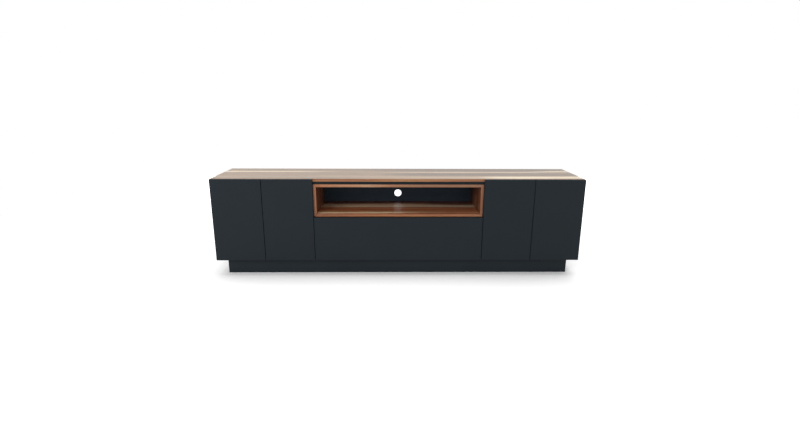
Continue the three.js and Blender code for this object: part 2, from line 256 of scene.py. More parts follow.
def charcoal_lacquer(name, base):
    """Matt sprayed lacquer on a smooth board.

    To the eye it is an even, very dark blue grey. Its sheen is wide and low, with a trace of the
    spray's orange peel, and its colour drifts a little from place to place.
    """
    # Widths in millimetres. The real peel is about 1 mm wide, and is drawn wider so that it shows.
    drift_width, speckle_width, peel_width = 260, 5, 3
    material, tree, shader, place = start_material(
        name, Base_Color=base, Roughness=0.5, IOR=1.5, Specular_IOR_Level=0.12)
    drift = add(tree, "TexNoise", {"Vector": place, "Scale": per(drift_width), "Detail": 2.0})
    peel = add(tree, "TexNoise", {"Vector": place, "Scale": per(peel_width), "Detail": 2.0})
    speckle = add(tree, "TexNoise", {"Vector": place, "Scale": per(speckle_width), "Detail": 3.0})
    level = add(tree, "MapRange", spread(drift.outputs["Fac"], 0.93, 1.07))
    grain = add(tree, "MapRange", spread(speckle.outputs["Fac"], 0.95, 1.05))
    both = add(tree, "Math", {0: level.outputs[0], 1: grain.outputs[0]}, operation="MULTIPLY")
    toned = add(tree, "Mix", {MIX_FACTOR: 1.0, MIX_A: base, MIX_B: both.outputs[0]}, **MULTIPLY)
    sheen = add(tree, "MapRange", spread(drift.outputs["Fac"], 0.46, 0.54))
    bump = add(tree, "Bump", {"Height": peel.outputs["Fac"], "Strength": 0.15, "Distance": 0.05 * MM})
    wire(tree, shader, Base_Color=toned.outputs[MIX_RESULT], Roughness=sheen.outputs[0],
         Normal=bump.outputs["Normal"])
    return material


def charcoal_melamine(name, base):
    """Melamine faced chipboard, pressed against a finely pebbled plate.

    To the eye it is a dry, even charcoal with a fine pebbled face that breaks up the light.
    """
    # Widths in millimetres. Real pebbles are about 0.5 mm wide, and are drawn wider so that they show.
    cloud_width, pebble_width = 180, 2.5
    material, tree, shader, place = start_material(
        name, Base_Color=base, Roughness=0.6, IOR=1.5, Specular_IOR_Level=0.2)
    pebble = add(tree, "TexVoronoi", {"Vector": place, "Scale": per(pebble_width), "Randomness": 1.0},
                 feature="SMOOTH_F1")
    cloud = add(tree, "TexNoise", {"Vector": place, "Scale": per(cloud_width), "Detail": 4.0})
    level = add(tree, "MapRange", spread(cloud.outputs["Fac"], 0.9, 1.1))
    toned = add(tree, "Mix", {MIX_FACTOR: 1.0, MIX_A: base, MIX_B: level.outputs[0]}, **MULTIPLY)
    bump = add(tree, "Bump", {"Height": pebble.outputs["Distance"], "Strength": 0.2, "Distance": 0.1 * MM})
    wire(tree, shader, Base_Color=toned.outputs[MIX_RESULT], Normal=bump.outputs["Normal"])
    return material


def streaks(tree, laid, along, across, detail=3.0, roughness=0.55):
    """Noise drawn out along the grain, in millimetres along and across it."""
    stretched = add(tree, "Mapping", {"Vector": laid, "Scale": (per(along), per(across), per(across))})
    noise = add(tree, "TexNoise", {
        "Vector": stretched.outputs["Vector"], "Scale": 1.0, "Detail": detail, "Roughness": roughness,
    })
    return noise.outputs["Fac"]


def band_share(tree, along, across, half_length, band):
    """How much of one band of the figure shows. The band runs along the grain."""
    stops = [
        ((place * MM + half_length) / (2 * half_length), grey(share)) for place, share in band["shares"]
    ]
    run = add(tree, "MapRange", {"Value": along, "From Min": -half_length, "From Max": half_length})
    strength = add(tree, "ValToRGB", {"Fac": run.outputs[0]}, stops=stops)
    drift_start, drift_end, drift = band["drift"]
    drifted = add(tree, "MapRange", {
        "Value": along, "From Min": drift_start * MM, "From Max": drift_end * MM, "To Min": 0.0,
        "To Max": drift * MM,
    }, interpolation_type="SMOOTHSTEP")
    place = add(tree, "Math", {0: across, 1: drifted.outputs[0]}, operation="SUBTRACT").outputs[0]
    share = strength.outputs["Color"]
    front_edge, front_core, rear_core, rear_edge = band["across"]
    for outer, inner in ((front_edge, front_core), (rear_edge, rear_core)):
        rise = outer < inner
        side = add(tree, "MapRange", {
            "Value": place, "From Min": min(outer, inner) * MM, "From Max": max(outer, inner) * MM,
            "To Min": 0.0 if rise else 1.0, "To Max": 1.0 if rise else 0.0,
        }, interpolation_type="SMOOTHSTEP")
        share = add(tree, "Math", {0: share, 1: side.outputs[0]}, operation="MULTIPLY").outputs[0]
    return share


def walnut_veneer(name, tones, turn, shift, bands, half_length, level=1.0, roughness=0.36, film=0.0):
    """Sliced walnut veneer under satin lacquer. Turned and shifted, its grain runs along X.

    To the eye it has long brown streaks of many widths, open pores as short dark dashes, pale
    sapwood in bands, and a soft sheen that whitens at a flat angle.
    """
    # How far the bands wander from their line, and how ragged their edges are.
    wander_reach, ragged_reach = 9 * MM, 4 * MM
    # The rings' share in the streaks, and where on the mixed noise the three tones lie.
    ring_share, tone_places = 0.55, (0.36, 0.5, 0.64)
    # How much smoother the lacquer's film is than the wood, and how dark a pore is.
    film_smoother, pore_level = 0.06, 0.72
    colours = settings()[1]
    material, tree, shader, place = start_material(
        name, Base_Color=tones[1], Roughness=roughness, IOR=1.5,
        Coat_Weight=film, Coat_Roughness=roughness - film_smoother,
    )
    laid = add(tree, "Mapping", {"Vector": place, "Rotation": turn, "Location": shift}).outputs["Vector"]
    split = add(tree, "SeparateXYZ", {"Vector": laid})
    along = split.outputs["X"]
    wander = add(tree, "MapRange", spread(
        streaks(tree, laid, along=700, across=170, detail=1.0), -wander_reach, wander_reach))
    ragged = add(tree, "MapRange", spread(
        streaks(tree, laid, along=160, across=9, detail=3.0), -ragged_reach, ragged_reach))
    across = add(tree, "Math", {0: split.outputs["Y"], 1: wander.outputs[0]}, operation="ADD").outputs[0]
    wavy = add(tree, "CombineXYZ", {"X": along, "Y": across, "Z": split.outputs["Z"]}).outputs["Vector"]
    broad = streaks(tree, wavy, along=1500, across=60, detail=3.0)
    rings = streaks(tree, wavy, along=1000, across=11, detail=4.0, roughness=0.6)
    mixed = add(tree, "Mix", {MIX_FACTOR: ring_share, MIX_NUMBER_A: broad, MIX_NUMBER_B: rings})
    heart = add(tree, "ValToRGB", {"Fac": mixed.outputs[0]},
                stops=list(zip(tone_places, tones))).outputs["Color"]
    edge = add(tree, "Math", {0: across, 1: ragged.outputs[0]}, operation="ADD").outputs[0]
    sap_tone = add(tree, "MapRange", spread(rings, 0.8, 1.06))
    sap = add(tree, "Mix", {MIX_FACTOR: 1.0, MIX_A: colours.sapwood, MIX_B: sap_tone.outputs[0]},
              **MULTIPLY).outputs[MIX_RESULT]
    # A dark band shades the wood's own streaks down, as far as the darkest tone lies below the
    # middle one. On the top it is a dark streak; on the niche's boards it is painted shade.
    shade = [dark / middle for dark, middle in zip(tones[0], tones[1])]
    shaded = add(tree, "Mix", {MIX_FACTOR: 1.0, MIX_A: heart, MIX_B: shade},
                 **MULTIPLY).outputs[MIX_RESULT]
    wood = heart
    # The bands paint sapwood and dark streaks, and on the niche's boards also painted shade and a painted
    # highlight.
    for band in bands:
        share = band_share(tree, along, edge, half_length, band)
        tone = sap if band["pale"] else shaded
        # Lightens the band past the sapwood, into a painted highlight.
        if "highlight_tint" in band:
            tone = add(tree, "Mix", {MIX_FACTOR: 1.0, MIX_A: tone, MIX_B: band["highlight_tint"]},
                       **MULTIPLY).outputs[MIX_RESULT]
        wood = add(tree, "Mix", {MIX_FACTOR: share, MIX_A: wood, MIX_B: tone},
                   data_type="RGBA").outputs[MIX_RESULT]
    # Real pores are about 0.2 mm wide. They are drawn at 1.6 mm so that they show.
    pores = streaks(tree, wavy, along=60, across=1.6, detail=2.0)
    # The level lightens or darkens the whole veneer; for the niche's boards it carries painted light and
    # shade.
    pore_tone = add(tree, "MapRange", {
        "Value": pores, "From Min": 0.52, "From Max": 0.7, "To Min": level, "To Max": pore_level * level,
    })
    toned = add(tree, "Mix", {MIX_FACTOR: 1.0, MIX_A: wood, MIX_B: pore_tone.outputs[0]}, **MULTIPLY)
    sheen = add(tree, "MapRange", {
        "Value": pores, "From Min": 0.4, "From Max": 0.7,
        "To Min": roughness - 0.04, "To Max": roughness + 0.1,
    })
    bump = add(tree, "Bump", {"Height": pores, "Strength": 0.25, "Distance": 0.06 * MM}, invert=True)
    wire(tree, shader, Base_Color=toned.outputs[MIX_RESULT], Roughness=sheen.outputs[0],
         Normal=bump.outputs["Normal"])
    return material


def plated_steel(name, base, roughness, spangle):
    """Plated pressed steel. Spangle is the width in millimetres of the patches in the plate.

    To the eye it is a pale metal with soft reflections that change a little from patch to patch.
    """
    material, tree, shader, place = start_material(
        name, Base_Color=base, Metallic=1.0, Roughness=roughness)
    patches = add(tree, "TexNoise", {"Vector": place, "Scale": per(spangle), "Detail": 3.0})
    tone = add(tree, "MapRange", spread(patches.outputs["Fac"], 0.88, 1.0))
    toned = add(tree, "Mix", {MIX_FACTOR: 1.0, MIX_A: base, MIX_B: tone.outputs[0]}, **MULTIPLY)
    sheen = add(tree, "MapRange", spread(patches.outputs["Fac"], roughness - 0.03, roughness + 0.05))
    wire(tree, shader, Base_Color=toned.outputs[MIX_RESULT], Roughness=sheen.outputs[0])
    return material


# Modelling

def select_only(piece):
    """Makes a piece the only one selected, and the active one."""
    bpy.ops.object.select_all(action="DESELECT")
    piece.select_set(True)
    bpy.context.view_layer.objects.active = piece


def new_name(piece, name):
    """Names an object and its mesh alike."""
    piece.name = name
    piece.data.name = name
    return piece


def settled(name):
    """The primitive just added, named, with its place moved into its mesh."""
    bpy.ops.object.transform_apply(location=True, rotation=True, scale=True)
    return new_name(bpy.context.active_object, name)


def box_piece(name, low, high):
    """Starts a piece as a block between two corners, with its place in its mesh."""
    low, high = Vector(low), Vector(high)
    bpy.ops.object.select_all(action="DESELECT")
    bpy.ops.mesh.primitive_cube_add(size=1, location=(low + high) / 2, scale=high - low)
    return settled(name)


def rod_piece(name, radius, start, end, sides):
    """Starts a piece as a rod from one point to another."""
    start, end = Vector(start), Vector(end)
    turn = (end - start).to_track_quat("Z", "Y").to_euler()
    bpy.ops.object.select_all(action="DESELECT")
    bpy.ops.mesh.primitive_cylinder_add(
        vertices=sides, radius=radius, depth=(end - start).length, location=(start + end) / 2,
        rotation=turn,
    )
    return settled(name)


def arc(centre, radius, start, end, steps):
    """Points in a plane, round a centre from one angle to another."""
    angles = [start + (end - start) * step / steps for step in range(steps + 1)]
    return [(centre[0] + radius * math.cos(a), centre[1] + radius * math.sin(a)) for a in angles]


def rounded_outline(low, high, radius, steps=5):
    """The outline of a rectangle with round corners."""
    near, far = (low[0] + radius, low[1] + radius), (high[0] - radius, high[1] - radius)
    return (
        arc(near, radius, HALF_TURN, 1.5 * HALF_TURN, steps)
        + arc((far[0], near[1]), radius, 1.5 * HALF_TURN, 2 * HALF_TURN, steps)
        + arc(far, radius, 0, QUARTER_TURN, steps)
        + arc((near[0], far[1]), radius, QUARTER_TURN, HALF_TURN, steps)
    )


def drawn_piece(name, outline, plane, span):
    """Starts a piece by drawing an outline point by point, filling it and extruding it.

    The plane names the two axes that the outline's points are given in.
    """
    first, second = ["XYZ".index(axis) for axis in plane]
    third = 3 - first - second
    points = []
    for place in outline:
        point = Vector((0, 0, 0))
        point[first], point[second], point[third] = place[0], place[1], span[0]
        points.append(point)
    bpy.ops.object.select_all(action="DESELECT")
    bpy.ops.mesh.primitive_plane_add(size=MM, location=points[0])
    piece = settled(name)
    bpy.ops.object.mode_set(mode="EDIT")
    bpy.ops.mesh.select_mode(type="VERT")
    bpy.ops.mesh.select_all(action="SELECT")
    bpy.ops.mesh.merge(type="CENTER")
    for before, after in zip(points, points[1:]):
        bpy.ops.mesh.extrude_vertices_move(TRANSFORM_OT_translate={"value": after - before})
    bpy.ops.mesh.select_all(action="SELECT")
    bpy.ops.mesh.edge_face_add()
    rise = Vector((0, 0, 0))
    rise[third] = span[1] - span[0]
    bpy.ops.mesh.select_all(action="SELECT")
    bpy.ops.mesh.extrude_region_move(TRANSFORM_OT_translate={"value": rise})
    bpy.ops.mesh.select_all(action="SELECT")
    bpy.ops.mesh.normals_make_consistent(inside=False)
    bpy.ops.object.mode_set(mode="OBJECT")
    return piece


def pick(piece, kind, wanted):
    """Opens a piece for editing with only the faces or edges that pass a test selected."""
    select_only(piece)
    bpy.ops.object.mode_set(mode="EDIT")
    bpy.ops.mesh.select_mode(type=kind)
    bpy.ops.mesh.select_all(action="DESELECT")
    mesh = bmesh.from_edit_mesh(piece.data)
    found = [item for item in (mesh.faces if kind == "FACE" else mesh.edges) if wanted(item)]
    for item in found:
        item.select_set(True)
    bmesh.update_edit_mesh(piece.data)
    if not found:
        raise RuntimeError(f"{piece.name} has nothing to work on here")


def runs_along(axis):
    """A test for edges that run along an axis."""
    def test(edge):
        run = edge.verts[1].co - edge.verts[0].co
        return run.length > 0 and abs(run.normalized().dot(axis)) > PARALLEL
    return test


def round_edges(piece, radius, segments=3, wanted=lambda edge: True):
    """Rounds the edges of a piece that pass a test."""
    pick(piece, "EDGE", wanted)
    bpy.ops.mesh.bevel(offset=radius, segments=segments, affect="EDGES", clamp_overlap=True)
    bpy.ops.object.mode_set(mode="OBJECT")
    return piece


def combine(piece, tool, operation):
    """Joins a tool to a piece, or cuts the piece with it, and removes the tool."""
    select_only(piece)
    change = piece.modifiers.new("Combine", "BOOLEAN")
    change.object = tool
    change.operation = operation
    change.solver = "EXACT"
    bpy.ops.object.modifier_apply(modifier=change.name)
    bpy.data.objects.remove(tool)
    return piece


def smooth(piece, angle=35):
    """Shades the rounded edges smooth and keeps the flat faces flat."""
    select_only(piece)
    bpy.ops.object.shade_smooth_by_angle(angle=math.radians(angle))
    weighted = piece.modifiers.new("Weighted normals", "WEIGHTED_NORMAL")
    weighted.keep_sharp = True
    bpy.ops.object.modifier_apply(modifier=weighted.name)
    return piece


def copy_to(piece, name, placing):
    """A copy of a piece with its own mesh, moved by a matrix."""
    select_only(piece)
    bpy.ops.object.duplicate(linked=False)
    copy = bpy.context.active_object
    copy.data.transform(placing)
    copy.data.update()
    return new_name(copy, name)


def stand_for(piece, node, material):
    """Gives a piece its material, hides its CAD node, and hangs the piece on the node's body."""
    piece.data.materials.clear()
    piece.data.materials.append(material)
    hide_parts(node)
    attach(piece, BODY_OF[node])
    return piece


def second_finish(piece, material, wanted):
    """Gives the faces of a piece whose normals pass a test a further material."""
    piece.data.materials.append(material)
    for polygon in piece.data.polygons:
        if wanted(polygon.normal):
            polygon.material_index = len(piece.data.materials) - 1


def faces_front(normal):
    """A test for faces that look to the front."""
    return normal.y < -FACING


def finished_board(node, arris, material):
    """A board at its node's size, its edges rounded."""
    low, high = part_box(node)
    board = box_piece(f"{node}_finished", low, high)
    round_edges(board, arris)
    smooth(board)
    return stand_for(board, node, material)


def rotation(angle, axis):
    """A matrix of four rows that turns round an axis."""
    return Matrix.Rotation(angle, 4, axis)


def door_placing(door, height):
    """Moves what is drawn from a door's hinge edge and front face to its place on the cabinet."""
    low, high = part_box(f"{door}_door")
    if DOORS[door]:
        return Matrix.Translation((high.x, low.y, height)) @ rotation(HALF_TURN, "Y")
    return Matrix.Translation((low.x, low.y, height))


def middle_of(node):
    """The middle of a node's box."""
    low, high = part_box(node)
    return (low + high) / 2


# A turn and a shift that leave a veneer as it lies.
UNTURNED, UNSHIFTED = (0, 0, 0), (0, 0, 0)
# A band over the whole width of a lipping, and a band that runs straight along the niche.
WHOLE_LIPPING, STRAIGHT = (-240, -220, -160, -140), (-487, 487, 0)

# Walnut figure, painted shade and a painted highlight, in millimetres from the middle of the cabinet, on the
# turned and shifted veneer. On the top the pale bands are sapwood and the dark ones are streaks; on the
# niche's lipping and inside the niche the pale bands are sapwood and the dark bands are painted shade. A
# band has its front edge, front core, rear core and rear edge across the grain, where along the grain it
# drifts and by how much, and its shares at places along the grain. Some pale bands carry a factor that makes
# them lighter and warmer than the other sapwood, as a painted highlight.
TOP_BANDS = (
    {"pale": False, "across": (84, 102, 214, 240), "drift": (-1100, 1100, 0),
     "shares": ((-420, 0.0), (-60, 0.75), (220, 1.0), (950, 1.0), (1100, 0.7))},
    {"pale": False, "across": (-78, -55, 22, 40), "drift": (-200, 1100, 0),
     "shares": ((-150, 0.0), (20, 0.7), (160, 0.9), (560, 0.85), (760, 0.6))},
    {"pale": True, "across": (54, 70, 88, 104), "drift": (-450, 200, -14),
     "shares": ((-1100, 0.9), (-640, 0.9), (-500, 0.45), (-380, 0.1))},
    {"pale": True, "across": (38, 50, 64, 76), "drift": (700, 1120, 46),
     "shares": ((-160, 0.0), (160, 0.4), (420, 0.55), (800, 0.7), (1050, 0.9))},
    {"pale": True, "across": (-168, -142, -104, -78), "drift": (300, 700, -14),
     "shares": ((-1000, 0.1), (0, 0.14), (470, 0.24), (600, 1.0))},
)
LIPPING_FIGURE_AND_SHADE = {
    "niche_top": (
        {"pale": True, "across": WHOLE_LIPPING, "drift": STRAIGHT,
         "shares": ((-137, 0.0), (-20, 0.08), (60, 0.1), (170, 0.24), (260, 0.12), (330, 0.04))},
        # Painted shade: the top's lipping darkens towards its right end.
        {"pale": False, "across": WHOLE_LIPPING, "drift": STRAIGHT,
         "shares": ((-137, 0.1), (-20, 0.0), (200, 0.0), (320, 0.45), (487, 0.65))},
    ),
    "niche_bottom": (
        # Painted shade: the floor's lipping darkens towards its right end.
        {"pale": False, "across": WHOLE_LIPPING, "drift": STRAIGHT,
         "shares": ((-100, 0.0), (487, 0.4))},
    ),
}
NICHE_FIGURE_SHADE_AND_HIGHLIGHT = (
    {"pale": True, "across": (-16, -4, 20, 130), "drift": (480, 620, -40),
     "shares": ((-600, 0.12), (-480, 0.85), (470, 0.8), (600, 0.12))},
    # Sapwood along the floor's front edge, lightened past the sapwood into a painted highlight, strongest at
    # the left.
    {"pale": True, "across": (-175, -171, -141, -135), "drift": (-487, 487, 3),
     "highlight_tint": (1.26, 1.19, 1.06, 1),
     "shares": ((-500, 0.0), (-487, 1.0), (-60, 1.0), (120, 0.4), (300, 0.15))},
    # Painted shade at the rear of the niche, along its back panel.
    {"pale": False, "across": (70, 125, 170, 190), "drift": STRAIGHT,
     "shares": ((-487, 1.0), (487, 1.0))},
    # Painted shade, deeper over the rear of the niche's right half.
    {"pale": False, "across": (26, 84, 170, 190), "drift": STRAIGHT,
     "shares": ((80, 0.0), (330, 0.9), (480, 0.9), (520, 0.0))},
    # Painted shade on the niche's side walls, where the figure runs on past the floor's ends.
    {"pale": False, "across": (-240, -220, 220, 240), "drift": STRAIGHT,
     "shares": ((-640, 0.45), (-560, 0.25), (-500, 0.0), (500, 0.0), (560, 0.25), (640, 0.45))},
)


class Step:
    """What the operators have in common."""

    bl_options = {"REGISTER", "UNDO"}


class MakeTop(Step, bpy.types.Operator):
    """Make the walnut top"""

    bl_idname = "tv_cabinet.make_top"
    bl_label = "Walnut Top"

    # How light the face and the lipping are, and how thick a film of lacquer the face has.
    face_level, lipping_level, film = 0.92, 0.78, 0.25
    # How far the figure of the front's and the ends' lipping is shifted, so that each has its own.
    front_shift, end_shift = (0.4, 0.1, 0.2), (0.3, 0.2, 0)

    def execute(self, context):
        sizes, colours = settings()
        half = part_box("top_board")[1].x
        tones = (colours.top_dark, colours.top_middle, colours.top_light)
        face = walnut_veneer(
            "walnut_veneer_top", tones, UNTURNED, UNSHIFTED, TOP_BANDS, half,
            level=self.face_level, film=self.film)
        tones = (colours.niche_dark, colours.niche_middle, colours.niche_light)
        lipping = walnut_veneer(
            "walnut_lipping_front", tones, UNTURNED, self.front_shift, (), half, level=self.lipping_level)
        end_lipping = walnut_veneer(
            "walnut_lipping_ends", tones, (0, 0, QUARTER_TURN), self.end_shift, (), half,
            level=self.lipping_level)
        board = finished_board("top_board", sizes.top_arris, face)
        second_finish(board, lipping, lambda normal: abs(normal.y) > FACING)
        second_finish(board, end_lipping, lambda normal: abs(normal.x) > FACING)
        return {"FINISHED"}


class MakeNiche(Step, bpy.types.Operator):
    """Make the four mitred walnut boards of the niche"""

    bl_idname = "tv_cabinet.make_niche"
    bl_label = "Walnut Niche"

    # Painted light and shade: how light each board's veneer is drawn, on its inner face and on its front
    # edge. The side walls and their front edges are darkened as painted shade, and the floor's front edge is
    # lightened as painted light.
    levels = {
        "niche_bottom": (1.0, 1.14), "niche_top": (1.0, 1.0),
        "niche_left_side": (0.76, 0.88), "niche_right_side": (0.64, 0.96),
    }
    # The inner faces are less glossy than the top.
    inside_roughness = 0.4
    # How far the top's figure is shifted, so that it isn't the floor's.
    top_shift = (0.35, 0, 0.3)

    def execute(self, context):
        sizes, colours = settings()
        tones = (colours.niche_dark, colours.niche_inside, colours.niche_light)
        edge_tones = (colours.niche_dark, colours.niche_middle, colours.niche_light)
        low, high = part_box("niche_left_side")
        floor_low, floor_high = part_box("niche_bottom")
        thickness = floor_high.z - floor_low.z
        run = (low.y, high.y)
        outer, inner = -floor_low.x, -floor_low.x - thickness
        # The grain runs up the sides as if folded from the floor.
        fold = high.x - thickness / 2 - (low.z + thickness / 2)

        def lying(outside, inside):
            """The mitred outline of the floor or the top, between two heights."""
            return [(-outer, outside), (outer, outside), (inner, inside), (-inner, inside)]

        def standing(outside, inside):
            """The mitred outline of a side, between two places along the cabinet."""
            return [(outside, low.z), (outside, high.z),
                    (inside, high.z - thickness), (inside, low.z + thickness)]

        # Each board's outline, and the turn and shift of its veneer.
        boards = {
            "niche_bottom": (lying(low.z, low.z + thickness), UNTURNED, UNSHIFTED),
            "niche_top": (lying(high.z, high.z - thickness), UNTURNED, self.top_shift),
            "niche_left_side": (standing(low.x, high.x), (0, -QUARTER_TURN, 0), (fold, 0, -high.x)),
            "niche_right_side": (standing(-low.x, -high.x), (0, QUARTER_TURN, 0), (-fold, 0, -high.x)),
        }
        half_length = outer + high.z - low.z
        for node, (outline, turn, shift) in boards.items():
            board = drawn_piece(f"{node}_finished", outline, "XZ", run)
            round_edges(board, sizes.niche_arris)
            smooth(board)
            # Each board's painted light and shade, on its inner face and on its front edge.
            level, edge_painted_light = self.levels[node]
            veneer = walnut_veneer(
                f"walnut_veneer_{node}", tones, turn, shift, NICHE_FIGURE_SHADE_AND_HIGHLIGHT, half_length,
                level=level, roughness=self.inside_roughness)
            lipping = walnut_veneer(
                f"walnut_lipping_{node}", edge_tones, turn, shift, LIPPING_FIGURE_AND_SHADE.get(node, ()),
                half_length, level=edge_painted_light)
            stand_for(board, node, veneer)
            second_finish(board, lipping, faces_front)
        return {"FINISHED"}


class MakeCarcass(Step, bpy.types.Operator):
    """Make the charcoal boards inside, the end panels and the back with its cable hole"""

    bl_idname = "tv_cabinet.make_carcass"
    bl_label = "Carcass"

    # How many sides the round cable hole is cut with.
    hole_sides = 72

    def execute(self, context):
        sizes, colours = settings()
        melamine = charcoal_melamine("charcoal_melamine_board", colours.melamine)
        lacquer = charcoal_lacquer("charcoal_lacquer_ends", colours.lacquer)
        band = charcoal_lacquer("charcoal_edge_band", colours.edge_band)
        for node in INSIDE_BOARDS:
            board = finished_board(node, sizes.board_arris, melamine)
            second_finish(board, band, faces_front)
        back = charcoal_melamine("charcoal_melamine_back", colours.back)
        for node in BACK_BOARDS:
            finished_board(node, sizes.board_arris, back)
        for side in SIDES:
            finished_board(f"{side}_end_panel", sizes.board_arris, lacquer)
        self.make_back(sizes, back)
        return {"FINISHED"}

    def make_back(self, sizes, material):
        """The centre back panel, its cable hole cut and eased."""
        low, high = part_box("centre_back_panel")
        panel = box_piece("centre_back_panel_finished", low, high)
        round_edges(panel, sizes.board_arris)
        openings = frame["record"]["physics"]["openings"]
        box = next(row["box_m"] for row in openings if row["name"] == "cable_hole")
        # The opening's box is the square that fits in the round hole.
        box_low, box_high = Vector(box[0]), Vector(box[1])
        radius = (box_high.x - box_low.x) / 2 * math.sqrt(2) + sizes.hole_clearance
        centre = (box_low + box_high) / 2
        front, rear = Vector((centre.x, box_low.y, centre.z)), Vector((centre.x, box_high.y, centre.z))
        combine(panel, rod_piece("hole_cutter", radius, front, rear, self.hole_sides), "DIFFERENCE")

        def on_rim(edge):
            reaches = [math.hypot(v.co.x - centre.x, v.co.z - centre.z) for v in edge.verts]
            level = abs(edge.verts[0].co.y - edge.verts[1].co.y) < TOLERANCE
            return level and all(abs(reach - radius) < 2 * TOLERANCE for reach in reaches)

        round_edges(panel, sizes.hole_arris, wanted=on_rim)
        smooth(panel)
        stand_for(panel, "centre_back_panel", material)


class MakePlinth(Step, bpy.types.Operator):
    """Make the boards of the recessed plinth"""

    bl_idname = "tv_cabinet.make_plinth"
    bl_label = "Plinth"

    def execute(self, context):
        sizes, colours = settings()
        lacquer = charcoal_lacquer("charcoal_lacquer_plinth", colours.plinth)
        for node in PLINTH_BOARDS:
            finished_board(node, sizes.board_arris, lacquer)
        return {"FINISHED"}


class MakeDoors(Step, bpy.types.Operator):
    """Make the four doors, each with two bores for its hinge cups"""

    bl_idname = "tv_cabinet.make_doors"
    bl_label = "Doors"

    # How many sides the round bores are cut with.
    bore_sides = 64

    def execute(self, context):
        sizes, colours = settings()
        lacquer = charcoal_lacquer("charcoal_lacquer_fronts", colours.lacquer)
        low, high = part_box("left_outer_door")
        size = high - low
        middle = (low.z + high.z) / 2
        pattern = box_piece("door_pattern", (0, 0, -size.z / 2), (size.x, size.y, size.z / 2))
        round_edges(pattern, sizes.front_arris)
        for level in LEVELS:
            cup_low, cup_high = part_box(f"left_outer_{level}_hinge_cup")
            radius = (cup_high.x - cup_low.x) / 2 + sizes.bore_clearance
            across = (cup_low.x + cup_high.x) / 2 - low.x
            height = (cup_low.z + cup_high.z) / 2 - middle
            bottom = cup_low.y - low.y - sizes.bore_clearance
            start, end = (across, bottom, height), (across, 2 * size.y, height)
            combine(pattern, rod_piece("bore", radius, start, end, self.bore_sides), "DIFFERENCE")
        smooth(pattern)
        for door in DOORS:
            leaf = copy_to(pattern, f"{door}_door_leaf", door_placing(door, middle))
            stand_for(leaf, f"{door}_door", lacquer)
        bpy.data.objects.remove(pattern)
        return {"FINISHED"}


